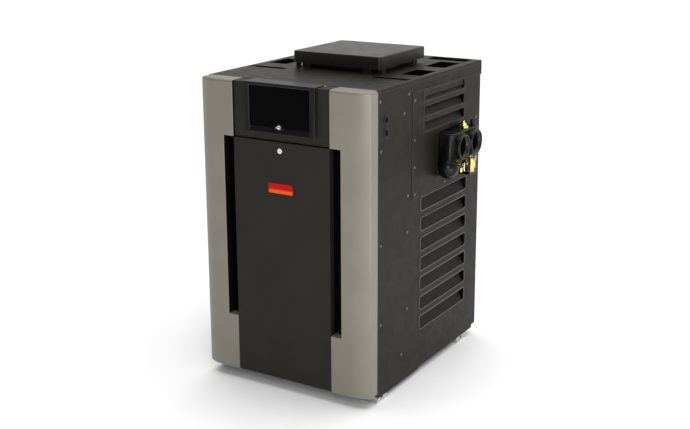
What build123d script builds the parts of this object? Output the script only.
from build123d import *
import os

# Gas pool heater: a floor-standing sheet-metal cabinet, its water headers, heat exchanger and gas train.
# Frame: +Z up, front at -Y, +X to the right seen from the front, origin on the floor at the cabinet's centre.

# ---------------------------------------------------------------- Driving dimensions, millimetres
cabinet_width = 533.4
cabinet_depth = 660.0
panel_height = 824.0
foot_height = 32.0
sheet = 1.5
seam = 1.0
fit_gap = 0.5
running_gap = 0.05

pillar_depth = 50.0
pillar_wall = 2.5
pillar_flat_width = 62.0
pillar_sweep = 18.0
pillar_corner_radius = 6.0
pillar_top_radius = 8.0
pillar_edge_radius = 2.0
front_opening_width = 304.0
air_slot_width = 33.0
air_slot_height = 512.0
air_slot_return = 26.0

door_height = 670.0
door_depth = 22.0
door_lock_height = 648.0
latch_radius = 7.5
latch_cam_length = 22.0
badge_width = 76.0
badge_height = 27.0
badge_thickness = 1.6
badge_centre_height = 545.5

control_panel_recess = 5.0
control_wall = 2.5
panel_bend_radius = 2.0
cover_width = 224.0
cover_drop = 134.0
cover_stand_out = 9.0
cover_wall = 2.5
window_width = 190.0
window_height = 110.0
window_sill = 16.0
window_recess = 7.0
window_thickness = 3.0
hinge_radius = 4.0
hinge_pin_radius = 1.6

cap_width = 286.0
cap_depth = 265.0
cap_height = 33.0
cap_lift = 13.5
cap_centre_y = 80.5
flue_length = 236.0
flue_depth = 200.0

rail_width = 56.0
rail_height = 20.0
rail_thickness = 2.5
rail_spacing = 490.0
anchor_spacing = 400.0
anchor_radius = 5.5

louvre_length = 286.0
louvre_height = 37.0
louvre_pitch = 58.0
louvre_count = 7
louvre_lowest = 124.0
louvre_centre_y = 100.0
louvre_depth = 15.0
louvre_bead = 4.0
louvre_proud = 2.0

access_width = 412.0
access_height = 294.0
access_bottom = 496.0
access_front_y = -94.0

port_radius = 30.15
port_wall = 7.0
port_spacing = 5.7
port_reach = 60.0
port_height = 611.0
port_socket_depth = 38.0
header_centre_y = 148.0
header_setback = 38.7
header_shoulder = 8.85
header_drop = 77.0
header_crown = 3.85
header_body_rise = 14.0
header_wall = 8.0
header_bolt_radius = 4.0

tube_radius = 11.0
tube_wall = 1.5
fin_radius = 17.5
fin_thickness = 1.2
fin_pitch = 8.0
tube_pitch = 37.0
tube_count = 4

refractory_thickness = 25.0
chamber_end_gap = 7.5
chamber_depth = 184.0
chamber_bottom = 228.0

burner_pitch = 60.0
burner_width = 22.0
burner_height = 34.0
manifold_radius = 16.7
gas_pipe_radius = 13.35
gas_stub_reach = 30.0

screw_head_radius = 4.5
screw_shank_radius = 2.0

# ---------------------------------------------------------------- Planes that the pieces share
half_width = cabinet_width / 2
front_y = -cabinet_depth / 2
rear_y = cabinet_depth / 2
base_z = foot_height
top_z = base_z + panel_height
pillar_back_y = front_y + pillar_depth
inner_x = half_width - sheet
opening_half = front_opening_width / 2
door_bottom_z = base_z + seam
door_top_z = door_bottom_z + door_height
control_bottom_z = door_top_z + 2 * seam
control_top_z = top_z - seam
control_front_y = front_y + control_panel_recess
slot_bottom_z = door_top_z + seam - air_slot_height
slot_top_z = door_top_z + seam
port_z = base_z + port_height
port_outer_radius = port_radius + port_wall
port_pitch = 2 * port_outer_radius + port_spacing
header_depth = port_pitch + 2 * (port_outer_radius + header_shoulder)
header_bottom_z = port_z - header_drop
header_top_z = port_z + port_outer_radius + header_crown
header_front_y = header_centre_y - header_depth / 2
header_rear_y = header_centre_y + header_depth / 2
port_face_x = half_width + port_reach
collar_start_x = port_face_x - port_socket_depth
header_inner_x = half_width - header_setback
header_face_x = port_face_x - 15.0


# ---------------------------------------------------------------- Shapes used again and again
def block(x_range, y_range, z_range, mode=Mode.ADD):
    """A square block between two corners, joined to or cut from the part being built."""
    middle = [(low + high) / 2 for low, high in (x_range, y_range, z_range)]
    size = [high - low for low, high in (x_range, y_range, z_range)]
    with Locations(tuple(middle)):
        Box(*size, mode=mode)


def facing_x(x, y, z, way=1):
    """A plane looking along X, with its own X axis along the row's Y."""
    return Plane(origin=(x, y, z), x_dir=(0, way, 0), z_dir=(way, 0, 0))


def facing_y(x, y, z, way=1):
    """A plane looking along Y."""
    return Plane(origin=(x, y, z), x_dir=(-way, 0, 0), z_dir=(0, way, 0))


def facing_z(x, y, z, way=1):
    """A plane looking up, or down with way -1."""
    return Plane(origin=(x, y, z), x_dir=(1, 0, 0), z_dir=(0, 0, way))


def rod(plane, radius, length, mode=Mode.ADD):
    """A round bar, or a round hole, that starts on a plane and runs along its normal."""
    with BuildSketch(plane) as disc:
        Circle(radius)
    extrude(disc.sketch, amount=length, mode=mode)


def ring(plane, radius, bore, length):
    """A plain collar between two radii."""
    with BuildSketch(plane) as washer:
        Circle(radius)
        Circle(bore, mode=Mode.SUBTRACT)
    extrude(washer.sketch, amount=length)


def hex_bar(plane, across_flats, length):
    """A hexagonal bar, for nuts, bolt heads and fittings."""
    with BuildSketch(plane) as hexagon:
        RegularPolygon(radius=across_flats / 2, side_count=6, major_radius=False)
    extrude(hexagon.sketch, amount=length)


def rounded_slab(plane, width, height, radius, length, mode=Mode.ADD):
    """A plate with round corners."""
    with BuildSketch(plane) as outline:
        RectangleRounded(width, height, radius)
    extrude(outline.sketch, amount=length, mode=mode)


def tray(x_range, y_range, z_range, wall):
    """An open-topped sheet tray."""
    block(x_range, y_range, z_range)
    (x0, x1), (y0, y1), (z0, z1) = x_range, y_range, z_range
    block((x0 + wall, x1 - wall), (y0 + wall, y1 - wall), (z0 + wall, z1 + wall), mode=Mode.SUBTRACT)


def mirrored(values):
    """Each number and its opposite, for holes that repeat on both sides."""
    return [sign * value for value in values for sign in (-1, 1)]


# ---------------------------------------------------------------- Base: rails and pan
pan_half_width = inner_x - seam
pan_front_y = pillar_back_y + 4 * seam
pan_rear_y = rear_y - 17.0
pan_rim_z = base_z + 28.0
rail_length = 2 * (pan_half_width - 2 * sheet)
rail_end_hole_radius = 4.5
rail_end_hole_z = 11.6


with BuildPart() as base_rails:
    for centre_y in mirrored([rail_spacing / 2]):
        # A galvanised channel, open upwards, with closed ends and two anchor holes in its web.
        tray(
            (-rail_length / 2, rail_length / 2),
            (centre_y - rail_width / 2, centre_y + rail_width / 2),
            (0, rail_height),
            rail_thickness,
        )
        for x in mirrored([anchor_spacing / 2]):
            rod(facing_z(x, centre_y, 0), anchor_radius, rail_thickness, mode=Mode.SUBTRACT)
        rod(
            facing_x(-rail_length / 2, centre_y, rail_end_hole_z),
            rail_end_hole_radius,
            rail_length,
            mode=Mode.SUBTRACT,
        )

skirt_length = 233.0
skirt_drop = 5.0
pan_drain_x = 90.0
pan_drain_radius = 8.0

with BuildPart() as base_pan:
    tray(
        (-pan_half_width, pan_half_width),
        (pan_front_y, pan_rear_y),
        (rail_height, pan_rim_z),
        sheet,
    )
    for side in (-1, 1):
        edge_x = sorted((side * pan_half_width, side * (pan_half_width - sheet)))
        skirt_z = (rail_height - skirt_drop, rail_height + sheet)
        block(edge_x, (pan_front_y, pan_front_y + skirt_length), skirt_z)
        rod(facing_z(side * pan_drain_x, 0, rail_height), pan_drain_radius, sheet, mode=Mode.SUBTRACT)

# ---------------------------------------------------------------- Corner pillars
pillar_inner_x = opening_half + seam / 2
slot_outer_x = opening_half + air_slot_width

with BuildPart() as right_pillar:
    with BuildSketch(Plane.XY.offset(base_z)) as pillar_plan:
        with BuildLine():
            flat_end = (pillar_inner_x + pillar_flat_width, front_y)
            side_front = (half_width, front_y + pillar_sweep)
            Polyline(
                (half_width, pillar_back_y),
                (pillar_inner_x, pillar_back_y),
                (pillar_inner_x, front_y),
                flat_end,
            )
            TangentArc(flat_end, side_front, tangent=(1, 0))
            Line(side_front, (half_width, pillar_back_y))
        make_face()
        outer_corner = pillar_plan.vertices().filter_by_position(Axis.X, half_width - 1, half_width + 1)
        fillet(outer_corner.sort_by(Axis.Y)[0], radius=pillar_corner_radius)
    extrude(amount=panel_height)
    upper_edges = right_pillar.edges().filter_by_position(Axis.Z, top_z - 0.1, top_z + 0.1)
    rounded_edges = upper_edges.filter_by_position(Axis.Y, front_y - 1, pillar_back_y - 1)
    inner_edge = rounded_edges.sort_by(Axis.X)[0]
    fillet([edge for edge in rounded_edges if edge is not inner_edge], radius=pillar_top_radius)
    inner_face = right_pillar.faces().filter_by(Axis.X).sort_by(Axis.X)[0]
    inner_front_edge = inner_face.edges().filter_by(Axis.Z).sort_by(Axis.Y)[0]
    fillet(inner_front_edge, radius=pillar_edge_radius)
    with BuildSketch(Plane.XY.offset(base_z - sheet)) as pillar_core:
        offset(pillar_plan.sketch.moved(Location((0, 0, -base_z))), amount=-pillar_wall, mode=Mode.ADD)
        with Locations(((pillar_inner_x + half_width) / 2, pillar_back_y)):
            Rectangle(half_width - pillar_inner_x - 2 * pillar_wall, 4 * pillar_wall)
    core_height = panel_height + sheet - pillar_top_radius
    extrude(pillar_core.sketch, amount=core_height, mode=Mode.SUBTRACT)
    slot_return_y = front_y + air_slot_return
    block(
        (pillar_inner_x, slot_outer_x + pillar_wall),
        (front_y + pillar_wall / 2, slot_return_y),
        (slot_bottom_z - pillar_wall, slot_top_z + pillar_wall),
    )
    block(
        (pillar_inner_x - seam, slot_outer_x),
        (front_y - seam, pillar_back_y + seam),
        (slot_bottom_z, slot_top_z),
        mode=Mode.SUBTRACT,
    )
    upright_edges = right_pillar.edges().filter_by(Axis.Z)
    slot_edges = upright_edges.filter_by_position(Axis.X, slot_outer_x - 0.1, slot_outer_x + 0.1)
    fillet(slot_edges.sort_by(Axis.Y)[0], radius=pillar_edge_radius)

with BuildPart() as left_pillar:
    mirror(right_pillar.part, about=Plane.YZ)

# ---------------------------------------------------------------- Side panels with pressed louvres
fold = 15.0
side_front_y = pillar_back_y + fit_gap
side_rear_y = rear_y - sheet
panel_skin_z = top_z - sheet
louvre_lean = 2.0
conduit_y = front_y + 93.0
conduit_heights = (742.0, 708.0)
conduit_hole_radius = 11.0
gas_centre_y = front_y + 160.0
gas_centre_z = base_z + 205.0
gas_hole_radius = gas_pipe_radius + 5.0
screw_hole_radius = screw_shank_radius + fit_gap / 4

# Screw places on the side sheets: the distance behind the sheet's front edge, and the height above its foot.
left_screw_places = [(15, 664), (15, 412), (15, 192), (162, 514), (160, 192), (573, 795), (550, 660)]
right_screw_places = [
    (10, 794),
    (163, 791),
    (138, 743),
    (15, 664),
    (162, 514),
    (160, 412),
    (161, 192),
    (132, 67),
    (15, 412),
    (15, 192),
]
# Screw places on the access panel: the distance behind and above its lower front corner.
access_screw_places = [(9, 273), (9, 164), (10, 89), (12, 13), (193, 11), (394, 164)]


def placed(places, corner_y, corner_z):
    """Screw places measured from a corner, as points on a side of the cabinet."""
    return [(corner_y + back, corner_z + up) for back, up in places]


def louvre(surface_x, centre_y, bottom_z, length, height):
    """A louvre lanced inwards: a raised bead, an opening and a flap that leans in from its lower edge."""
    centre_z = bottom_z + height / 2
    corner = height / 5
    with BuildSketch(facing_x(surface_x, centre_y, centre_z)) as bead:
        RectangleRounded(length + 2 * louvre_bead, height + 2 * louvre_bead, corner + louvre_bead)
    extrude(bead.sketch, amount=louvre_proud, taper=30)
    rounded_slab(
        facing_x(surface_x + 2 * louvre_proud, centre_y, centre_z, way=-1),
        length,
        height,
        corner,
        2 * louvre_proud + 2 * sheet,
        mode=Mode.SUBTRACT,
    )
    back_x = surface_x - sheet
    with BuildSketch(facing_y(0, centre_y + length / 2 - corner, 0, way=-1)) as flap:
        Polygon(
            (back_x, bottom_z - louvre_bead),
            (back_x, bottom_z),
            (back_x - louvre_depth, bottom_z + height - louvre_lean),
            (back_x - louvre_depth - sheet, bottom_z + height - louvre_lean),
            (back_x - sheet, bottom_z - louvre_bead),
            align=None,
        )
    extrude(flap.sketch, amount=length - 2 * corner)


def side_sheet(screws):
    """The right-hand side sheet: folded front, rear and top edges, louvres and screw holes."""
    with BuildPart() as blank:
        block((inner_x, half_width), (side_front_y, side_rear_y), (base_z, panel_skin_z))
        fold_x = (inner_x - fold, half_width)
        block(fold_x, (side_front_y, side_front_y + sheet), (pan_rim_z, panel_skin_z))
        block(fold_x, (side_rear_y - sheet, side_rear_y), (pan_rim_z, panel_skin_z))
        block(fold_x, (side_front_y, side_rear_y), (panel_skin_z - sheet, panel_skin_z))
        for index in range(louvre_count):
            lowest_z = base_z + louvre_lowest - louvre_height / 2
            louvre(half_width, louvre_centre_y, lowest_z + index * louvre_pitch, louvre_length, louvre_height)
        for y, z in screws:
            rod(facing_x(half_width, y, z, way=-1), screw_hole_radius, 2 * sheet, mode=Mode.SUBTRACT)
    return blank.part


access_rear_y = access_front_y + access_width
access_bottom_z = base_z + access_bottom
access_top_z = access_bottom_z + access_height
access_lap = 20.0
left_screws = placed(left_screw_places, side_front_y, base_z)
right_screws = placed(right_screw_places, side_front_y, base_z)
access_screws = placed(access_screw_places, access_front_y, access_bottom_z)

with BuildPart() as right_side_panel:
    add(side_sheet(right_screws))
    block(
        (inner_x - sheet, half_width + sheet),
        (access_front_y + access_lap, access_rear_y - access_lap),
        (access_bottom_z + access_lap, access_top_z - access_lap),
        mode=Mode.SUBTRACT,
    )
    for y, z in access_screws:
        rod(facing_x(half_width, y, z, way=-1), screw_hole_radius, 2 * sheet, mode=Mode.SUBTRACT)
    for height in conduit_heights:
        rod(
            facing_x(half_width, conduit_y, base_z + height, way=-1),
            conduit_hole_radius,
            2 * sheet,
            mode=Mode.SUBTRACT,
        )

with BuildPart() as left_side_panel:
    mirror(side_sheet(left_screws), about=Plane.YZ)
    rod(
        facing_x(-half_width, gas_centre_y, gas_centre_z),
        gas_hole_radius,
        2 * sheet,
        mode=Mode.SUBTRACT,
    )

# ---------------------------------------------------------------- Access panel around the water header
access_skin_x = half_width + sheet
access_louvre_length = 250.0
access_louvre_height = 27.0
access_louvre_pitch = 42.0
access_louvre_count = 3
access_louvre_drop = 116.0
access_louvre_centre_y = 92.0
cutout_margin = 6.0

with BuildPart() as access_panel:
    block((half_width, access_skin_x), (access_front_y, access_rear_y), (access_bottom_z, access_top_z))
    block(
        (half_width - sheet, access_skin_x + sheet),
        (header_front_y - cutout_margin, header_rear_y + cutout_margin),
        (header_bottom_z + header_body_rise - cutout_margin, header_top_z + cutout_margin),
        mode=Mode.SUBTRACT,
    )
    for index in range(access_louvre_count):
        louvre(
            access_skin_x,
            access_louvre_centre_y,
            access_top_z - access_louvre_drop + index * access_louvre_pitch,
            access_louvre_length,
            access_louvre_height,
        )
    for y, z in access_screws:
        rod(facing_x(access_skin_x, y, z, way=-1), screw_hole_radius, 2 * sheet, mode=Mode.SUBTRACT)


def pan_head_screw(surface_x, y, z, side):
    """A sheet-metal screw seated on a side sheet, its shank through the sheet's hole."""
    head_height = 2.4
    shank_length = 9.0
    slot_half = 0.5
    with BuildSketch(facing_x(surface_x, y, z, way=side)) as head:
        Circle(screw_head_radius)
    extrude(head.sketch, amount=head_height, taper=20)
    rod(facing_x(surface_x, y, z, way=-side), screw_shank_radius, shank_length)
    block(
        sorted((surface_x + side * head_height, surface_x + side * head_height / 2)),
        (y - screw_head_radius / 2, y + screw_head_radius / 2),
        (z - slot_half, z + slot_half),
        mode=Mode.SUBTRACT,
    )


with BuildPart() as panel_screws:
    for y, z in right_screws:
        pan_head_screw(half_width, y, z, 1)
    for y, z in left_screws:
        pan_head_screw(-half_width, y, z, -1)
    for y, z in access_screws:
        pan_head_screw(access_skin_x, y, z, 1)

bushing_flange_radius = 13.5
bushing_bore_radius = 8.5
bushing_length = 11.0

with BuildPart() as conduit_bushings:
    for height in conduit_heights:
        seat = facing_x(half_width, conduit_y, base_z + height)
        ring(seat, bushing_flange_radius, bushing_bore_radius, sheet)
        sleeve = seat.offset(-bushing_length + sheet)
        ring(sleeve, conduit_hole_radius - fit_gap / 2, bushing_bore_radius, bushing_length)

# ---------------------------------------------------------------- Rear panel
rear_louvre_rows = 6
rear_slot_length = 150.0
rear_slot_height = 12.0
rear_slot_pitch = 30.0
rear_slot_lowest = 120.0
rear_slot_centre_x = 120.0

with BuildPart() as rear_panel:
    block((-half_width, half_width), (side_rear_y, rear_y), (base_z, panel_skin_z - sheet))
    for row in range(rear_louvre_rows):
        slot_z = base_z + rear_slot_lowest + row * rear_slot_pitch
        for x in mirrored([rear_slot_centre_x]):
            rounded_slab(
                facing_y(x, side_rear_y, slot_z),
                rear_slot_length,
                rear_slot_height,
                rear_slot_height / 2.1,
                sheet,
                mode=Mode.SUBTRACT,
            )
            hood_z = (slot_z + rear_slot_height / 2, slot_z + rear_slot_height / 2 + sheet)
            half_slot = rear_slot_length / 2
            block((x - half_slot, x + half_slot), (rear_y, rear_y + 2 * sheet), hood_z)

# ---------------------------------------------------------------- Top panel
top_front_y = pillar_back_y + sheet
top_rear_y = rear_y + 5.0
rain_flange_drop = 42.0
side_flange_drop = 9.0
bend_radius = 2.2
flue_hole_margin = 3.0
# Each opening: its gap to the cabinet's side, its width, and its front and rear edges.
top_openings = [
    (10.7, 115.0, top_front_y + 170.5, top_front_y + 195.5),
    (16.7, 63.0, top_front_y + 256.5, top_front_y + 353.5),
    (23.7, 66.0, top_front_y + 415.5, top_front_y + 522.5),
    (21.7, 129.0, rear_y - 58.0, rear_y - 7.0),
]
flue_x = (-flue_length / 2, flue_length / 2)
flue_y = (cap_centre_y - flue_depth / 2, cap_centre_y + flue_depth / 2)


def grown(span, margin):
    """A span made longer by a margin at both ends."""
    return (span[0] - margin, span[1] + margin)


with BuildPart() as top_panel:
    lid_half = half_width + sheet
    block((-lid_half, lid_half), (top_front_y, top_rear_y), (panel_skin_z, top_z))
    block((-lid_half, lid_half), (top_rear_y - sheet, top_rear_y), (top_z - rain_flange_drop, top_z))
    for side in (-1, 1):
        flange_x = sorted((side * (half_width + fit_gap / 5), side * lid_half))
        block(flange_x, (top_front_y, top_rear_y), (top_z - side_flange_drop, top_z))
    lid_rim = top_panel.faces().sort_by(Axis.Z)[-1].edges()
    fillet(lid_rim.filter_by(Axis.Y), radius=bend_radius)
    rear_edges = top_panel.edges().filter_by(Axis.X).sort_by(Axis.Y)[-4:]
    fillet(rear_edges.sort_by(Axis.Z)[-1], radius=bend_radius)
    for side_gap, width, opening_front_y, opening_rear_y in top_openings:
        for side in (-1, 1):
            opening_x = sorted((side * (half_width - side_gap), side * (half_width - side_gap - width)))
            opening_y = (opening_front_y, opening_rear_y)
            block(opening_x, opening_y, (panel_skin_z - sheet, top_z + sheet), mode=Mode.SUBTRACT)
    block(
        grown(flue_x, flue_hole_margin),
        grown(flue_y, flue_hole_margin),
        (panel_skin_z - sheet, top_z + sheet),
        mode=Mode.SUBTRACT,
    )

# ---------------------------------------------------------------- Flue collar, vent cap and its legs
cap_bottom_z = top_z + cap_lift
collar_bottom_z = top_z - 60.0
collar_top_z = cap_bottom_z + 8.0
cap_corner_radius = 9.0
cap_edge_radius = 4.0
pull_hole_radius = 2.6

with BuildPart() as flue_collar:
    block(flue_x, flue_y, (collar_bottom_z, collar_top_z))
    block(
        grown(flue_x, -sheet),
        grown(flue_y, -sheet),
        (collar_bottom_z - sheet, collar_top_z + sheet),
        mode=Mode.SUBTRACT,
    )

with BuildPart() as vent_cap:
    with BuildSketch(Plane.XY.offset(cap_bottom_z)):
        with Locations((0, cap_centre_y)):
            RectangleRounded(cap_width, cap_depth, cap_corner_radius)
    extrude(amount=cap_height)
    fillet(vent_cap.faces().sort_by(Axis.Z)[-1].edges(), radius=cap_edge_radius)
    with BuildSketch(Plane.XY.offset(cap_bottom_z)):
        with Locations((0, cap_centre_y)):
            RectangleRounded(cap_width - 2 * sheet, cap_depth - 2 * sheet, cap_corner_radius - sheet)
    extrude(amount=cap_height - cap_edge_radius, mode=Mode.SUBTRACT)
    rod(
        facing_y(0, cap_centre_y - cap_depth / 2 - sheet, cap_bottom_z + cap_height * 0.6),
        pull_hole_radius,
        4 * sheet,
        mode=Mode.SUBTRACT,
    )

leg_width = 22.0
leg_top_z = cap_bottom_z + 18.0
leg_foot = 14.0
side_leg_ys = (cap_centre_y - 107.5, cap_centre_y + 74.5)
end_leg_x = 100.0

with BuildPart() as vent_cap_legs:
    leg_x = cap_width / 2 - sheet - fit_gap
    for leg_y in side_leg_ys:
        for side in (-1, 1):
            along = (leg_y - leg_width / 2, leg_y + leg_width / 2)
            block(sorted((side * leg_x, side * (leg_x - sheet))), along, (top_z, leg_top_z))
            block(sorted((side * leg_x, side * (leg_x - leg_foot))), along, (top_z, top_z + sheet))
    for y_end in (-1, 1):
        face_y = cap_centre_y + y_end * (cap_depth / 2 - sheet - fit_gap)
        for x in mirrored([end_leg_x]):
            across = (x - leg_width / 2, x + leg_width / 2)
            block(across, sorted((face_y, face_y - y_end * sheet)), (top_z, leg_top_z))
            block(across, sorted((face_y, face_y - y_end * leg_foot)), (top_z, top_z + sheet))

# ---------------------------------------------------------------- Front frame behind the pillars
frame_front_y = pillar_back_y + fit_gap
frame_back_y = frame_front_y + sheet
frame_half = inner_x - fold - seam
service_half = opening_half - 22.0
service_bottom_z = pan_rim_z + 30.0
service_top_z = door_top_z - 30.0
compartment_half = cover_width / 2 - 8.0
bay_half = compartment_half + 14.0
bay_bottom_z = control_bottom_z + 12.0
bay_top_z = control_top_z - 8.0

with BuildPart() as front_frame:
    frame_z = (pan_rim_z + seam, panel_skin_z - 2 * sheet)
    block((-frame_half, frame_half), (frame_front_y, frame_back_y), frame_z)
    block(
        (-service_half, service_half),
        (frame_front_y - seam, frame_back_y + seam),
        (service_bottom_z, service_top_z),
        mode=Mode.SUBTRACT,
    )
    block(
        (-bay_half, bay_half),
        (frame_front_y - seam, frame_back_y + seam),
        (bay_bottom_z, bay_top_z),
        mode=Mode.SUBTRACT,
    )
    for side in (-1, 1):
        lip_x = sorted((side * service_half, side * (service_half + sheet)))
        block(lip_x, (frame_front_y, frame_back_y + fold), (service_bottom_z, service_top_z))

# ---------------------------------------------------------------- Control panel around the cover
panel_half = opening_half - seam / 2
compartment_bottom_z = control_bottom_z + 26.0
compartment_top_z = control_top_z - 10.0
hinge_y = pillar_back_y - hinge_radius
hinge_z = top_z - 2.0
ear_thickness = 4.0
knuckle_half = cover_width / 2 - ear_thickness
ear_outer = cover_width / 2 + ear_thickness
lip_depth = 3.0
lip_front_y = front_y + door_depth + 2 * seam
lip_drop = 14.0

with BuildPart() as control_panel:
    surround_y = (control_front_y, pillar_back_y - seam)
    block((-panel_half, panel_half), surround_y, (control_bottom_z, control_top_z))
    block(
        (-panel_half + control_wall, panel_half - control_wall),
        (control_front_y + control_wall, pillar_back_y + seam),
        (control_bottom_z + control_wall, control_top_z - control_wall),
        mode=Mode.SUBTRACT,
    )
    block(
        (-compartment_half, compartment_half),
        (control_front_y - seam, control_front_y + 2 * control_wall),
        (compartment_bottom_z, compartment_top_z),
        mode=Mode.SUBTRACT,
    )
    block(
        (-cover_width / 2 - fit_gap, cover_width / 2 + fit_gap),
        (hinge_y - hinge_radius - seam, pillar_back_y),
        (control_top_z - 2 * control_wall, top_z),
        mode=Mode.SUBTRACT,
    )
    panel_front = control_panel.faces().filter_by(Axis.Y).sort_by(Axis.Y)[0]
    fillet(panel_front.outer_wire().edges(), radius=panel_bend_radius)
    for side in (-1, 1):
        ear_x = sorted((side * (knuckle_half + fit_gap), side * ear_outer))
        ear_y = (hinge_y - hinge_radius, pillar_back_y - seam)
        block(ear_x, ear_y, (hinge_z - 2 * hinge_radius, control_top_z))
        block(
            sorted((side * (knuckle_half + fit_gap), side * (panel_half - control_wall / 2))),
            ear_y,
            (hinge_z - 2 * hinge_radius, hinge_z - 2 * hinge_radius + control_wall),
        )
    hinge_line = facing_x(-ear_outer, hinge_y, hinge_z)
    rod(hinge_line, hinge_pin_radius + running_gap, 2 * ear_outer, mode=Mode.SUBTRACT)
    block(
        (-service_half, service_half),
        (lip_front_y, lip_front_y + lip_depth),
        (control_bottom_z - lip_drop, control_bottom_z + control_wall),
    )

with BuildPart() as cover_hinge_pin:
    rod(facing_x(-ear_outer, hinge_y, hinge_z), hinge_pin_radius, 2 * ear_outer)

# ---------------------------------------------------------------- Flip-up control cover, window and latch
cover_half = cover_width / 2
cover_front_y = control_front_y - cover_stand_out
cover_top_z = control_top_z + cover_wall + fit_gap
cover_bottom_z = cover_top_z - cover_drop
cover_back_y = control_front_y - fit_gap
window_half = window_width / 2
window_bottom_z = cover_bottom_z + window_sill
window_top_z = window_bottom_z + window_height
sill_run = 7.0
window_face_y = cover_front_y + window_recess - window_thickness
knob_z = cover_bottom_z + window_sill + 3.5
knob_radius = 6.0
knob_stem_radius = 3.0
stem_hole_radius = knob_stem_radius + 2 * running_gap
stem_hole_length = 20.0

with BuildPart() as control_cover:
    block((-cover_half, cover_half), (cover_front_y, cover_back_y), (cover_bottom_z, cover_top_z))
    front_rim = control_cover.edges().filter_by_position(Axis.Y, cover_front_y - 0.1, cover_front_y + 0.1)
    fillet(front_rim, radius=2.5)
    block((-cover_half, cover_half), (cover_front_y + 4, hinge_y), (cover_top_z - cover_wall, cover_top_z))
    rod(facing_x(-knuckle_half, hinge_y, hinge_z), hinge_radius, 2 * knuckle_half)
    for side in (-1, 1):
        notch_x = sorted((side * knuckle_half, side * (cover_half + seam)))
        notch_y = (hinge_y - hinge_radius - 2 * seam, hinge_y + hinge_radius)
        block(notch_x, notch_y, (cover_top_z - 2 * cover_wall, cover_top_z + seam), mode=Mode.SUBTRACT)
    block(
        (-window_half, window_half),
        (cover_front_y - seam, cover_back_y + seam),
        (window_bottom_z, window_top_z),
        mode=Mode.SUBTRACT,
    )
    with BuildSketch(facing_x(-window_half, 0, 0)) as sill:
        Polygon(
            (cover_front_y + sill_run, window_bottom_z + seam),
            (cover_front_y - seam, window_bottom_z - 2 * sill_run),
            (cover_front_y - seam, window_bottom_z + seam),
            align=None,
        )
    extrude(sill.sketch, amount=2 * window_half, mode=Mode.SUBTRACT)
    window_rim = control_cover.edges().filter_by_position(Axis.Y, cover_front_y - 0.1, cover_front_y + 0.1)
    upright_rim = window_rim.filter_by(Axis.Z)
    upright_rim = upright_rim.filter_by_position(Axis.X, -window_half - 0.1, window_half + 0.1)
    chamfer(upright_rim, length=1.5)
    pin_hole_radius = hinge_pin_radius + running_gap
    rod(facing_x(-knuckle_half, hinge_y, hinge_z), pin_hole_radius, 2 * knuckle_half, mode=Mode.SUBTRACT)
    rod(facing_y(0, cover_front_y - seam, knob_z), stem_hole_radius, stem_hole_length, mode=Mode.SUBTRACT)

with BuildPart() as control_window:
    block(
        (-window_half + fit_gap / 2, window_half - fit_gap / 2),
        (window_face_y, window_face_y + window_thickness),
        (window_bottom_z + fit_gap / 2, window_top_z - fit_gap / 2),
    )
    rod(facing_y(0, window_face_y - seam, knob_z), knob_radius + 2, 2 * window_thickness, mode=Mode.SUBTRACT)

cover_boss_radius = knob_radius + 2 - fit_gap / 2

with BuildPart() as cover_boss:
    rod(facing_y(0, window_face_y - seam, knob_z), cover_boss_radius, window_thickness + 2 * seam)
    rod(facing_y(0, cover_front_y - seam, knob_z), stem_hole_radius, stem_hole_length, mode=Mode.SUBTRACT)

with control_cover:
    add(cover_boss.part)

with BuildPart() as cover_latch:
    stem_start_y = window_face_y - seam - fit_gap
    ring_y = stem_start_y - 4.0
    rod(facing_y(0, ring_y, knob_z), knob_radius, 4.0)
    fillet(cover_latch.edges().sort_by(Axis.Y)[0], radius=1.5)
    block((-knob_radius, knob_radius), (ring_y - 4.0, ring_y), (knob_z - 1.2, knob_z + 1.2))
    rod(facing_y(0, stem_start_y, knob_z), knob_stem_radius, 12.0)
    cover_cam_y = stem_start_y + 9.5
    block((-knob_stem_radius, 17.5), (cover_cam_y, cover_cam_y + 2.0), (knob_z - 3.0, knob_z + 3.0))

# ---------------------------------------------------------------- Pull-off front door, its badge and lock
door_half = opening_half - seam / 2
door_latch_z = base_z + door_lock_height
badge_z = base_z + badge_centre_height
lock_stem_radius = latch_radius - 1.5
lock_seat_y = front_y - fit_gap / 2
lock_stem_length = lip_front_y + lip_depth + 6 - front_y

with BuildPart() as front_door:
    block((-door_half, door_half), (front_y, front_y + door_depth), (door_bottom_z, door_top_z))
    front_bends = front_door.edges().filter_by_position(Axis.Y, front_y - 0.1, front_y + 0.1)
    fillet(front_bends, radius=2.0)
    block(
        (-door_half + sheet, door_half - sheet),
        (front_y + sheet, front_y + door_depth + seam),
        (door_bottom_z + sheet, door_top_z - sheet),
        mode=Mode.SUBTRACT,
    )
    lock_seat = facing_y(0, front_y - seam, door_latch_z)
    rod(lock_seat, lock_stem_radius + 2 * running_gap, 3 * seam, mode=Mode.SUBTRACT)

with BuildPart() as door_badge:
    rounded_slab(facing_y(0, front_y, badge_z, way=-1), badge_width, badge_height, 2.5, badge_thickness)

with BuildPart() as door_latch:
    rod(facing_y(0, lock_seat_y, door_latch_z, way=-1), latch_radius, 2.5)
    fillet(door_latch.edges().sort_by(Axis.Y)[0], radius=0.8)
    key_slot_x = (-3.5, 3.5)
    key_slot_y = (front_y - 3.0, front_y - 1.2)
    key_slot_z = (door_latch_z - 0.7, door_latch_z + 0.7)
    block(key_slot_x, key_slot_y, key_slot_z, mode=Mode.SUBTRACT)
    rod(facing_y(0, lock_seat_y, door_latch_z), lock_stem_radius, lock_stem_length)
    door_cam_y = lip_front_y + lip_depth + 1.5
    block((-6, latch_cam_length), (door_cam_y, door_cam_y + 2.5), (door_latch_z - 6, door_latch_z + 6))

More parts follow.
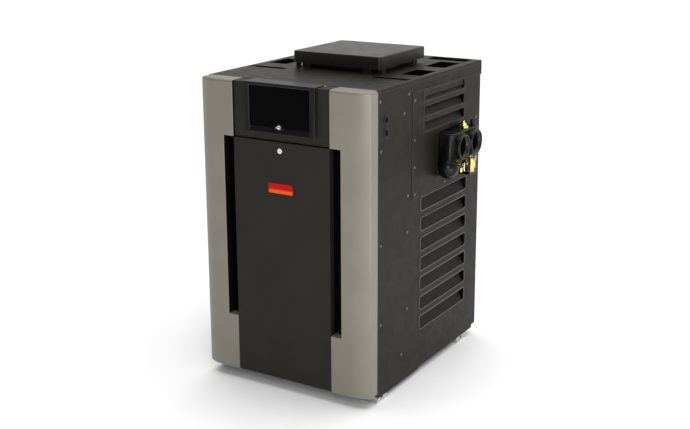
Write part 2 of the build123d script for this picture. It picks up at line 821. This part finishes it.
# ---------------------------------------------------------------- Electronics behind the control cover
box_wall = 2.5
box_half = compartment_half - 2.0
box_front_y = control_front_y + 25.0
box_back_y = box_front_y + 85.0
box_bottom_z = compartment_bottom_z - 3.0
box_top_z = hinge_z - 2 * hinge_radius - 2.0
display_centre = (-38.0, box_bottom_z + 76.0)
display_size = (86.0, 34.0)
button_radius = 7.0
button_gap = 0.35
button_x = {"up_button": 34.0, "down_button": 58.0, "mode_button": 82.0}
button_stand = 2.5
switch_x = -70.0
switch_z = box_bottom_z + 34.0
switch_size = (26.0, 18.0)
harness_radius = 4.0
harness_x = -78.0
harness_y = box_back_y - 37.0

with BuildPart() as control_box:
    block((-box_half, box_half), (box_front_y, box_back_y), (box_bottom_z, box_top_z))
    block(
        (-box_half + box_wall, box_half - box_wall),
        (box_front_y + box_wall, box_back_y - box_wall),
        (box_bottom_z + box_wall, box_top_z - box_wall),
        mode=Mode.SUBTRACT,
    )
    rounded_slab(
        facing_y(display_centre[0], box_front_y - seam, display_centre[1]),
        display_size[0] + fit_gap,
        display_size[1] + fit_gap,
        2.0,
        2 * box_wall,
        mode=Mode.SUBTRACT,
    )
    for x in button_x.values():
        hole = facing_y(x, box_front_y - seam, display_centre[1])
        rod(hole, button_radius + button_gap, 2 * box_wall, mode=Mode.SUBTRACT)
    rounded_slab(
        facing_y(switch_x, box_front_y - seam, switch_z),
        switch_size[0] + 2 * fit_gap,
        switch_size[1] + 2 * fit_gap,
        1.0,
        2 * box_wall,
        mode=Mode.SUBTRACT,
    )
    rod(facing_z(harness_x, harness_y, box_bottom_z - seam), harness_radius + 1.0, 5.0, mode=Mode.SUBTRACT)

board_front_y = box_front_y + 14.0
board_thickness = 1.6

with BuildPart() as circuit_board:
    board_z = (box_bottom_z + 2 * box_wall, box_top_z - 2 * box_wall)
    board_half = box_half - 2 * box_wall
    block((-board_half, board_half), (board_front_y, board_front_y + board_thickness), board_z)
    for x in (-60.0, -20.0, 20.0):
        relay_y = (board_front_y + board_thickness, board_front_y + 18)
        block((x, x + 22), relay_y, (box_bottom_z + 20, box_bottom_z + 36))
    for x in (20.0, 44.0, 68.0):
        rod(facing_y(x, board_front_y + board_thickness, box_bottom_z + 62), 7.0, 22.0)
    for x in mirrored([box_half - 8 * box_wall]):
        post_seat = facing_y(x, board_front_y, box_bottom_z + 14, way=-1)
        rod(post_seat, 3.0, board_front_y - box_front_y - box_wall)

with BuildPart() as display_screen:
    rounded_slab(
        facing_y(display_centre[0], box_front_y + 0.8, display_centre[1]),
        display_size[0],
        display_size[1],
        1.5,
        board_front_y - box_front_y - 0.8,
    )

buttons = {}
for name, x in button_x.items():
    with BuildPart() as button:
        button_face = facing_y(x, box_front_y - button_stand, display_centre[1])
        rod(button_face, button_radius, button_stand + box_wall + 1.5)
        fillet(button.edges().sort_by(Axis.Y)[0], radius=1.0)
        rod(facing_y(x, box_front_y + box_wall + 1.2, display_centre[1]), button_radius + 1.5, 1.6)
        rod(facing_y(x, box_front_y + box_wall + 2, display_centre[1]), 2.0, 7.5)
    buttons[name] = button

with BuildPart() as power_switch:
    rocker_y = box_front_y + 3.0
    with BuildSketch(facing_x(switch_x - switch_size[0] / 2, rocker_y, switch_z)) as rocker:
        Polygon((-5.5, -8.0), (-4.2, 0.0), (-5.5, 8.0), (2.5, 7.0), (5.0, 0.0), (2.5, -7.0), align=None)
    extrude(rocker.sketch, amount=switch_size[0])
    pivot_overhang = 0.4
    pivot_start = facing_x(switch_x - switch_size[0] / 2 - pivot_overhang, rocker_y, switch_z)
    rod(pivot_start, 1.5, switch_size[0] + 2 * pivot_overhang)

transformer_x = (38.0, 88.0)
transformer_y = (board_front_y + 26.0, board_front_y + 64.0)

with BuildPart() as transformer:
    block(transformer_x, transformer_y, (box_bottom_z + box_wall, box_bottom_z + 44))
    block(grown(transformer_x, -10), grown(transformer_y, 4), (box_bottom_z + 12, box_bottom_z + 36))

# ---------------------------------------------------------------- Water headers
cavity_outer_x = collar_start_x - 4.0
divider_half = 5.0
valve_seat_radius = 12.0
valve_bore_z = header_bottom_z + 54.0
valve_x = header_inner_x + 28.0
lobe_radius = 30.0
lobe_start_x = access_skin_x + seam
front_lobe_y = header_front_y + 34.0
front_lobe_z = header_bottom_z + 25.0
rear_lobe_y = (header_rear_y - 46.0, header_rear_y + 14.0)
rear_lobe_z = (header_bottom_z - 27.0, header_bottom_z + 30.0)
port_ys = (header_centre_y - port_pitch / 2, header_centre_y + port_pitch / 2)
flange_thickness = 10.0
flange_outer_x = header_inner_x + flange_thickness
bolt_y_positions = [header_front_y - 11, header_rear_y + 11]
bolt_z_positions = [header_bottom_z + 12, port_z, header_top_z - 12]
flange_margin = 22.0

with BuildPart() as inout_header:
    header_x = (header_inner_x, header_face_x)
    body_z = (header_bottom_z + header_body_rise, header_top_z)
    block(header_x, (header_front_y, header_rear_y), body_z)
    body_corners = inout_header.edges().filter_by(Axis.Z).group_by(Axis.X)[-1]
    fillet(body_corners, radius=16.0)
    fillet(inout_header.faces().sort_by(Axis.X)[-1].edges(), radius=5.0)
    for y in port_ys:
        neck_start = facing_x(header_face_x - 12, y, port_z)
        rod(neck_start, port_outer_radius - 4, collar_start_x - header_face_x + 12 - seam)
    lobe_centre = (header_face_x - 32, front_lobe_y, front_lobe_z)
    rod(facing_x(lobe_start_x, front_lobe_y, front_lobe_z), lobe_radius, lobe_centre[0] - lobe_start_x)
    with Locations(lobe_centre):
        Sphere(lobe_radius)
    # The lobe's ball ends at the access panel's skin wherever it hangs below the body.
    behind_skin_x = (lobe_centre[0] - lobe_radius - seam, lobe_start_x)
    below_body_z = (front_lobe_z - lobe_radius - seam, body_z[0])
    lobe_y = (front_lobe_y - lobe_radius - seam, front_lobe_y + lobe_radius + seam)
    block(behind_skin_x, lobe_y, below_body_z, mode=Mode.SUBTRACT)
    with BuildSketch(facing_x(lobe_start_x, sum(rear_lobe_y) / 2, sum(rear_lobe_z) / 2)) as rear_lobe:
        RectangleRounded(rear_lobe_y[1] - rear_lobe_y[0], rear_lobe_z[1] - rear_lobe_z[0], 12)
    extrude(rear_lobe.sketch, amount=header_face_x - lobe_start_x - 8)
    block(
        (header_inner_x, flange_outer_x),
        (header_front_y - flange_margin, header_rear_y + flange_margin),
        (header_bottom_z, header_top_z),
    )
    for y_span in (
        (header_front_y + header_wall, header_centre_y - divider_half),
        (header_centre_y + divider_half, header_rear_y - header_wall),
    ):
        block(
            (header_inner_x - seam, cavity_outer_x),
            y_span,
            (header_bottom_z + 22, header_top_z - header_wall),
            mode=Mode.SUBTRACT,
        )
    for y in port_ys:
        rod(facing_x(cavity_outer_x - seam, y, port_z), port_radius - 6, 60, mode=Mode.SUBTRACT)
    rod(
        facing_y(valve_x, header_centre_y - divider_half - seam, valve_bore_z),
        valve_seat_radius,
        2 * divider_half + 2 * seam,
        mode=Mode.SUBTRACT,
    )
    for y in bolt_y_positions:
        for z in bolt_z_positions:
            rod(
                facing_x(header_inner_x - seam, y, z),
                header_bolt_radius + fit_gap / 2,
                flange_thickness + 2 * seam,
                mode=Mode.SUBTRACT,
            )
    for y in port_ys:
        rod(facing_x(collar_start_x, y, port_z), port_outer_radius + fit_gap / 2, 60, mode=Mode.SUBTRACT)


with BuildPart() as port_collars:
    # The black collars that the two-inch unions screw into, with a bead round each mouth.
    for y in port_ys:
        ring(facing_x(collar_start_x, y, port_z), port_outer_radius, port_radius, port_socket_depth)
    mouth_circles = port_collars.edges().group_by(Axis.X)[-1].sort_by(SortBy.LENGTH)
    fillet(mouth_circles[-2:], radius=2.0)
    chamfer(port_collars.edges().group_by(Axis.X)[-1].sort_by(SortBy.LENGTH)[:2], length=0.6)

tube_sheet_thickness = 4.0
gasket_thickness = 1.5
gasket_x = header_inner_x - gasket_thickness
tube_sheet_x = gasket_x - tube_sheet_thickness
tube_ys = [header_centre_y + (index - (tube_count - 1) / 2) * tube_pitch for index in range(tube_count)]
tube_z = port_z - 8.0
flange_y = (header_front_y - flange_margin, header_rear_y + flange_margin)
flange_z = (header_bottom_z, header_top_z)
return_depth = 30.0

with BuildPart() as header_gaskets:
    for side in (-1, 1):
        gasket_span = sorted((side * gasket_x, side * header_inner_x))
        block(gasket_span, flange_y, flange_z)
        block(
            grown(gasket_span, seam),
            (header_front_y + 6, header_rear_y - 6),
            (header_bottom_z + 20, header_top_z - 6),
            mode=Mode.SUBTRACT,
        )
        for y in bolt_y_positions:
            for z in bolt_z_positions:
                hole = facing_x(gasket_span[0] - seam, y, z)
                rod(hole, header_bolt_radius + fit_gap / 2, gasket_thickness + 2 * seam, mode=Mode.SUBTRACT)

with BuildPart() as tube_sheets:
    for side in (-1, 1):
        sheet_span = sorted((side * tube_sheet_x, side * gasket_x))
        block(sheet_span, flange_y, flange_z)
        for y in tube_ys:
            hole = facing_x(sheet_span[0] - seam, y, tube_z)
            rod(hole, tube_radius + running_gap, tube_sheet_thickness + 2 * seam, mode=Mode.SUBTRACT)
        for y in bolt_y_positions:
            for z in bolt_z_positions:
                hole = facing_x(sheet_span[0] - seam, y, z)
                hole_length = tube_sheet_thickness + 2 * seam
                rod(hole, header_bolt_radius + fit_gap / 2, hole_length, mode=Mode.SUBTRACT)

with BuildPart() as return_header:
    outer_x = -header_inner_x - return_depth
    block((outer_x, -header_inner_x), (header_front_y, header_rear_y), (header_bottom_z + 14, header_top_z))
    fillet(return_header.edges().filter_by(Axis.Z).group_by(Axis.X)[0], radius=10.0)
    block((-header_inner_x - flange_thickness, -header_inner_x), flange_y, flange_z)
    block(
        (outer_x + header_wall, -header_inner_x + seam),
        (header_front_y + header_wall, header_rear_y - header_wall),
        (header_bottom_z + 22, header_top_z - header_wall),
        mode=Mode.SUBTRACT,
    )
    for y in bolt_y_positions:
        for z in bolt_z_positions:
            hole = facing_x(-header_inner_x + seam, y, z, way=-1)
            rod(hole, header_bolt_radius + fit_gap / 2, flange_thickness + 2 * seam, mode=Mode.SUBTRACT)

bolt_head_height = 5.5
bolt_flats = 13.0

with BuildPart() as header_bolts:
    for side in (-1, 1):
        for y in bolt_y_positions:
            for z in bolt_z_positions:
                seat = facing_x(side * (header_inner_x + flange_thickness), y, z, way=side)
                hex_bar(seat, bolt_flats, bolt_head_height)
                grip = flange_thickness + gasket_thickness + tube_sheet_thickness
                rod(seat, header_bolt_radius, -(grip + 6))

# ---------------------------------------------------------------- Fittings on the header
relief_y = header_centre_y + 2
relief_z = header_bottom_z + 22.0
relief_flats = 28.0
relief_body_radius = 12.0
relief_pivot_x = header_face_x + 13.0
relief_pivot_z = relief_z + 21.0
relief_outlet_radius = 9.5

with BuildPart() as relief_valve:
    hex_bar(facing_x(header_face_x, relief_y, relief_z), relief_flats, 9.0)
    rod(facing_x(header_face_x, relief_y, relief_z), relief_body_radius + 1, 13.0)
    with BuildSketch(facing_z(relief_pivot_x - 1, relief_y, relief_z - 13)) as bonnet:
        RectangleRounded(24, 26, 5)
    extrude(bonnet.sketch, amount=28)
    hex_bar(facing_z(relief_pivot_x - 1, relief_y, relief_z - 24), 22.0, 12.0)
    rod(facing_z(relief_pivot_x - 1, relief_y, relief_z - 25), relief_outlet_radius, 20.0, mode=Mode.SUBTRACT)
    for side in (-1, 1):
        ear = sorted((relief_y + side * 5.0, relief_y + side * 8.0))
        block((relief_pivot_x - 5, relief_pivot_x + 3), ear, (relief_z + 14, relief_pivot_z + 3))
    rod(
        facing_y(relief_pivot_x - 1, relief_y - 10, relief_pivot_z - 1),
        1.5 + running_gap,
        20,
        mode=Mode.SUBTRACT,
    )

lever_half = 3.5
lever_length = 16.0
lever_thickness = 2.0

with BuildPart() as relief_lever:
    rod(facing_y(relief_pivot_x - 1, relief_y - 8, relief_pivot_z - 1), 1.5, 16)
    lever_y = (relief_y - lever_half, relief_y + lever_half)
    lever_top_z = relief_pivot_z + lever_thickness
    lever_tip_x = relief_pivot_x + lever_length
    block((relief_pivot_x - 4, lever_tip_x), lever_y, (relief_pivot_z, lever_top_z))
    block((relief_pivot_x - 3, relief_pivot_x + 1), lever_y, (relief_pivot_z - 3, lever_top_z))
    block((lever_tip_x - lever_thickness, lever_tip_x), lever_y, (relief_pivot_z - 12, lever_top_z))

cock_y = header_front_y + 34.0
cock_z = header_bottom_z + 22.0
cock_start_x = header_face_x
cock_radius = 6.0
cock_stem_x = cock_start_x + 9.0

with BuildPart() as drain_cock:
    hex_bar(facing_x(cock_start_x, cock_y, cock_z), 14.0, 5.0)
    rod(facing_x(cock_start_x, cock_y, cock_z), cock_radius, 14.0)
    rod(facing_z(cock_stem_x, cock_y, cock_z, way=-1), 4.5, 15.0)
    rod(facing_z(cock_stem_x, cock_y, cock_z - 16, way=1), 3.0, 12.0, mode=Mode.SUBTRACT)
    rod(facing_x(cock_start_x + 4, cock_y, cock_z), 2.0 + running_gap, 14.0, mode=Mode.SUBTRACT)

with BuildPart() as drain_handle:
    handle_x = cock_start_x + 17.0
    rod(facing_x(cock_start_x + 5, cock_y, cock_z), 2.0, 13.0)
    rod(facing_x(cock_start_x + 14.3, cock_y, cock_z), 4.5, 6.0)
    rod(facing_z(handle_x + 2, cock_y, cock_z - 10), 1.8, 20.0)
    with Locations((handle_x + 2, cock_y, cock_z - 10), (handle_x + 2, cock_y, cock_z + 10)):
        Sphere(3.0)

with BuildPart() as sensor_fitting:
    fitting_x = header_face_x - 18.0
    fitting_y = header_centre_y + 18.0
    hex_bar(facing_z(fitting_x, fitting_y, header_top_z), 24.0, 8.0)
    rod(facing_z(fitting_x, fitting_y, header_top_z + 8), 8.0, 7.0)
    rod(facing_z(fitting_x, fitting_y, header_top_z + 15), 3.0, 6.0)

with BuildPart() as sensor_plug:
    rod(facing_z(header_face_x - 14, header_rear_y - 16, header_top_z), 7.5, 16.0)
    fillet(sensor_plug.edges().sort_by(Axis.Z)[-1], radius=1.5)

# ---------------------------------------------------------------- Bypass valve inside the header
poppet_radius = 15.0
poppet_thickness = 4.0
poppet_y = header_centre_y + divider_half + 0.2
spring_radius = 9.0
spring_wire = 1.1
spring_turns = 9
spring_start_y = poppet_y + poppet_thickness + spring_wire + 0.2
spring_end_y = header_rear_y - header_wall - spring_wire - 0.2

with BuildPart() as bypass_valve:
    rod(facing_y(valve_x, poppet_y, valve_bore_z), poppet_radius, poppet_thickness)
    rod(facing_y(valve_x, poppet_y, valve_bore_z, way=-1), valve_seat_radius - fit_gap, 5.0)
    rod(facing_y(valve_x, poppet_y + poppet_thickness, valve_bore_z), 3.0, 24.0)

with BuildPart() as bypass_spring:
    spring_length = spring_end_y - spring_start_y
    with BuildLine() as coil:
        Helix(
            pitch=spring_length / spring_turns,
            height=spring_length,
            radius=spring_radius,
            center=(valve_x, spring_start_y, valve_bore_z),
            direction=(0, 1, 0),
        )
    with BuildSketch(Plane(origin=coil.line @ 0, z_dir=coil.line % 0)):
        Circle(spring_wire)
    sweep(is_frenet=True)

# ---------------------------------------------------------------- Finned tubes, baffles and refractory
chamber_half = tube_sheet_x - chamber_end_gap - refractory_thickness
fin_span = 2 * chamber_half - 20.0
fin_count = int(fin_span / fin_pitch)
tube_length = 2 * (tube_sheet_x + tube_sheet_thickness)

with BuildPart() as finned_tubes:
    for y in tube_ys:
        ring(facing_x(-tube_length / 2, y, tube_z), tube_radius, tube_radius - tube_wall, tube_length)
        for index in range(fin_count):
            fin_x = (index - (fin_count - 1) / 2) * fin_pitch - fin_thickness / 2
            ring(facing_x(fin_x, y, tube_z), fin_radius, tube_radius - tube_wall / 2, fin_thickness)

with BuildPart() as exchanger_baffles:
    for left_y, right_y in zip(tube_ys[:-1], tube_ys[1:]):
        baffle_y = (left_y + right_y) / 2
        with BuildSketch(facing_x(-fin_span / 2, baffle_y, tube_z + fin_radius)) as baffle:
            Polygon((-11, 2.0), (0, -9.0), (11, 2.0), (11, 3.5), (0, -7.0), (-11, 3.5), align=None)
        extrude(baffle.sketch, amount=fin_span)

chamber_y = (header_centre_y - chamber_depth / 2, header_centre_y + chamber_depth / 2)
chamber_z = (base_z + chamber_bottom, tube_z - fin_radius - 2 * seam)
wall_y = grown(chamber_y, refractory_thickness)

with BuildPart() as refractory_boards:
    block((-chamber_half + fit_gap, chamber_half - fit_gap), (wall_y[0], chamber_y[0]), chamber_z)
    block((-chamber_half + fit_gap, chamber_half - fit_gap), (chamber_y[1], wall_y[1]), chamber_z)
    for side in (-1, 1):
        end_x = sorted((side * chamber_half, side * (chamber_half + refractory_thickness)))
        block(end_x, wall_y, chamber_z)

with BuildPart() as heat_shield:
    shield_half = chamber_half + refractory_thickness
    shield_y = (wall_y[0] - 6 - sheet, wall_y[0] - 6)
    block((-shield_half, shield_half), shield_y, (chamber_z[0], header_top_z))
    for side in (-1, 1):
        rim_x = sorted((side * shield_half, side * (shield_half - sheet)))
        block(rim_x, (shield_y[0] - 12, shield_y[1]), (chamber_z[0], header_top_z))

# ---------------------------------------------------------------- Flue collector above the exchanger
collector_bottom_z = header_top_z + 4.0
collector_top_z = collar_bottom_z - 2.0
collector_base = (2 * chamber_half + 10, chamber_depth + 16)

with BuildPart() as flue_collector:
    for inset, mode in ((0, Mode.ADD), (sheet, Mode.SUBTRACT)):
        with BuildSketch(Plane.XY.offset(collector_bottom_z)) as hood_base:
            with Locations((0, header_centre_y)):
                Rectangle(collector_base[0] - 2 * inset, collector_base[1] - 2 * inset)
        with BuildSketch(Plane.XY.offset(collector_top_z)) as hood_top:
            with Locations((0, cap_centre_y)):
                Rectangle(flue_length + 2 * sheet - 2 * inset, flue_depth + 2 * sheet - 2 * inset)
        loft([hood_base.sketch, hood_top.sketch], mode=mode)

# ---------------------------------------------------------------- Burners, manifold and gas valve
burner_z = gas_centre_z
burner_count = int(2 * chamber_half / burner_pitch)
burner_xs = [(index - (burner_count - 1) / 2) * burner_pitch for index in range(burner_count)]
tray_y = wall_y
tray_z = (burner_z - 40.0, chamber_z[0] - seam)
manifold_y = tray_y[0] - 52.0
burner_mouth_radius = 16.0
burner_front_y = tray_y[0] - 18.0
burner_rear_y = tray_y[1] - 12.0
burner_start_y = tray_y[0] + 30.0
slot_length = 14.0

with BuildPart() as burner_tray:
    tray((-chamber_half - 12, chamber_half + 12), tray_y, tray_z, sheet)
    for x in burner_xs:
        mouth_hole = facing_y(x, tray_y[0] - seam, burner_z)
        rod(mouth_hole, burner_mouth_radius + seam, 2 * seam + sheet, mode=Mode.SUBTRACT)

with BuildPart() as burners:
    for x in burner_xs:
        with BuildSketch(facing_y(x, burner_start_y, burner_z)) as ribbon:
            RectangleRounded(burner_width, burner_height, 6)
        extrude(ribbon.sketch, amount=burner_rear_y - burner_start_y)
        with BuildSketch(facing_y(x, burner_front_y, burner_z)) as mouth:
            Circle(burner_mouth_radius)
        with BuildSketch(facing_y(x, burner_front_y + 30, burner_z)) as throat:
            Circle(burner_width / 2 - 1)
        loft([mouth.sketch, throat.sketch])
        throat_start = facing_y(x, burner_front_y + 30, burner_z)
        rod(throat_start, burner_width / 2 - 1, burner_start_y - burner_front_y - 30 + seam)
        rod(facing_y(x, burner_front_y - seam, burner_z), 7.0, 60.0, mode=Mode.SUBTRACT)
    for x in burner_xs:
        for step in range(6):
            port_y = burner_start_y + 12 + step * 26
            top = burner_z + burner_height / 2
            flame_slot_y = (port_y, port_y + slot_length)
            block((x - 1.5, x + 1.5), flame_slot_y, (top - 3, top + seam), mode=Mode.SUBTRACT)

orifice_radius = 5.0
valve_size = (96.0, 60.0, 66.0)
valve_y = gas_centre_y
valve_half = valve_size[0] / 2
knob_base_z = gas_centre_z + valve_size[2] / 2
elbow_y = valve_y + valve_size[1] / 2

with BuildPart() as gas_manifold:
    manifold_half = (burner_count - 1) / 2 * burner_pitch + 22
    rod(facing_x(-manifold_half, manifold_y, burner_z), manifold_radius, 2 * manifold_half)
    rod(facing_y(0, manifold_y, burner_z, way=-1), manifold_radius - 2, manifold_y - elbow_y)
    for x in burner_xs:
        orifice_seat = facing_y(x, manifold_y + manifold_radius - 4, burner_z)
        rod(orifice_seat, orifice_radius + running_gap, 10, mode=Mode.SUBTRACT)
    for x in mirrored([(burner_count / 2 - 1) * burner_pitch]):
        strap_z = (burner_z - manifold_radius - 4, burner_z - manifold_radius + 1)
        block((x - 9, x + 9), (manifold_y - 2, tray_y[0]), strap_z)

with BuildPart() as gas_orifices:
    for x in burner_xs:
        tip = facing_y(x, manifold_y + manifold_radius - 4, burner_z)
        rod(tip, orifice_radius, 10.0)
        hex_bar(tip.offset(4.5), 12.0, 6.0)
        rod(tip, 1.2, 12.0, mode=Mode.SUBTRACT)

with BuildPart() as gas_valve:
    block(
        (-valve_half, valve_half),
        (valve_y - valve_size[1] / 2, elbow_y),
        (gas_centre_z - valve_size[2] / 2, knob_base_z),
    )
    fillet(gas_valve.edges().filter_by(Axis.Z), radius=6.0)
    rod(facing_z(-24, valve_y, knob_base_z), 13.0, 6.0)
    rod(facing_z(-24, valve_y, knob_base_z), 4.0 + running_gap, 12.0, mode=Mode.SUBTRACT)
    block((6, 40), (valve_y - 14, valve_y + 14), (knob_base_z, knob_base_z + 20))
    rod(facing_x(-valve_half - 10, valve_y, gas_centre_z), gas_pipe_radius + 5, 12.0)

with BuildPart() as gas_valve_knob:
    knob_start_z = knob_base_z + 6.4
    rod(facing_z(-24, valve_y, knob_start_z), 15.0, 14.0)
    for turn in range(12):
        flute = facing_z(-24, valve_y, knob_start_z).rotated((0, 0, turn * 30))
        with BuildSketch(flute) as groove:
            with Locations((15.6, 0)):
                Circle(1.8)
        extrude(groove.sketch, amount=14, mode=Mode.SUBTRACT)
    block((-25.2, -22.8), (valve_y + 4, valve_y + 14), (knob_start_z + 13, knob_start_z + 15.5))

pipe_start_x = -half_width - gas_stub_reach
pipe_end_x = -valve_half - 10
coupling_x = -half_width + 12.0
coupling_length = 36.0

with BuildPart() as gas_inlet_pipe:
    # The inlet nipple, the coupling just inside the sheet and the pipe on to the valve.
    pipe_bore = gas_pipe_radius - 3
    pipe_start = facing_x(pipe_start_x, gas_centre_y, gas_centre_z)
    ring(pipe_start, gas_pipe_radius, pipe_bore, pipe_end_x - pipe_start_x)
    ring(facing_x(coupling_x, gas_centre_y, gas_centre_z), gas_pipe_radius + 4, pipe_bore, coupling_length)

with BuildPart() as igniter:
    igniter_x = burner_xs[1]
    block((igniter_x + 14, igniter_x + 15.5), (tray_y[0] + 4, tray_y[0] + 36), (burner_z + 2, burner_z + 20))
    rod(facing_y(igniter_x + 20.5, tray_y[0] + 6, burner_z + 14), 5.0, 26.0)
    rod(facing_y(igniter_x + 20.5, tray_y[0] + 32, burner_z + 14), 2.0, 24.0)

# ---------------------------------------------------------------- Pressure switch and wiring
pressure_switch_y = front_y + 120.0
pressure_switch_z = base_z + 560.0

with BuildPart() as pressure_switch:
    rod(facing_x(-inner_x, pressure_switch_y, pressure_switch_z), 30.0, 14.0)
    rod(facing_x(-inner_x + 14, pressure_switch_y, pressure_switch_z), 24.0, 12.0)
    rod(facing_x(-inner_x + 26, pressure_switch_y, pressure_switch_z), 5.0, 10.0)

harness_bend = 36.0
harness_top_z = box_bottom_z + 20.0
harness_mid_z = base_z + 420.0
harness_end = (30.0, valve_y, knob_base_z + 20.0)

with BuildPart() as wiring_harness:
    with BuildLine() as route:
        FilletPolyline(
            (harness_x, harness_y, harness_top_z),
            (harness_x, harness_y, harness_mid_z),
            (harness_end[0], harness_end[1], harness_mid_z - 60),
            harness_end,
            radius=harness_bend,
        )
    with BuildSketch(Plane(origin=route.line @ 0, z_dir=route.line % 0)):
        Circle(harness_radius)
    sweep()

# ---------------------------------------------------------------- Written pieces
pieces = {
    "base_pan": base_pan,
    "base_rails": base_rails,
    "left_side_panel": left_side_panel,
    "right_side_panel": right_side_panel,
    "rear_panel": rear_panel,
    "top_panel": top_panel,
    "front_frame": front_frame,
    "left_pillar": left_pillar,
    "right_pillar": right_pillar,
    "front_door": front_door,
    "door_badge": door_badge,
    "door_latch": door_latch,
    "control_panel": control_panel,
    "control_cover": control_cover,
    "control_window": control_window,
    "cover_latch": cover_latch,
    "cover_hinge_pin": cover_hinge_pin,
    "flue_collar": flue_collar,
    "vent_cap": vent_cap,
    "vent_cap_legs": vent_cap_legs,
    "access_panel": access_panel,
    "panel_screws": panel_screws,
    "conduit_bushings": conduit_bushings,
    "control_box": control_box,
    "circuit_board": circuit_board,
    "display_screen": display_screen,
    "power_switch": power_switch,
    "transformer": transformer,
    "inout_header": inout_header,
    "port_collars": port_collars,
    "return_header": return_header,
    "header_gaskets": header_gaskets,
    "header_bolts": header_bolts,
    "tube_sheets": tube_sheets,
    "relief_valve": relief_valve,
    "relief_lever": relief_lever,
    "drain_cock": drain_cock,
    "drain_handle": drain_handle,
    "sensor_fitting": sensor_fitting,
    "sensor_plug": sensor_plug,
    "bypass_valve": bypass_valve,
    "bypass_spring": bypass_spring,
    "finned_tubes": finned_tubes,
    "exchanger_baffles": exchanger_baffles,
    "refractory_boards": refractory_boards,
    "heat_shield": heat_shield,
    "flue_collector": flue_collector,
    "burner_tray": burner_tray,
    "burners": burners,
    "gas_manifold": gas_manifold,
    "gas_orifices": gas_orifices,
    "gas_valve": gas_valve,
    "gas_valve_knob": gas_valve_knob,
    "gas_inlet_pipe": gas_inlet_pipe,
    "igniter": igniter,
    "pressure_switch": pressure_switch,
    "wiring_harness": wiring_harness,
}
pieces.update(buttons)

os.makedirs("parts", exist_ok=True)
for name, piece in pieces.items():
    piece.part.label = name
    export_step(piece.part, f"parts/{name}.step")
print(len(pieces), "pieces written")
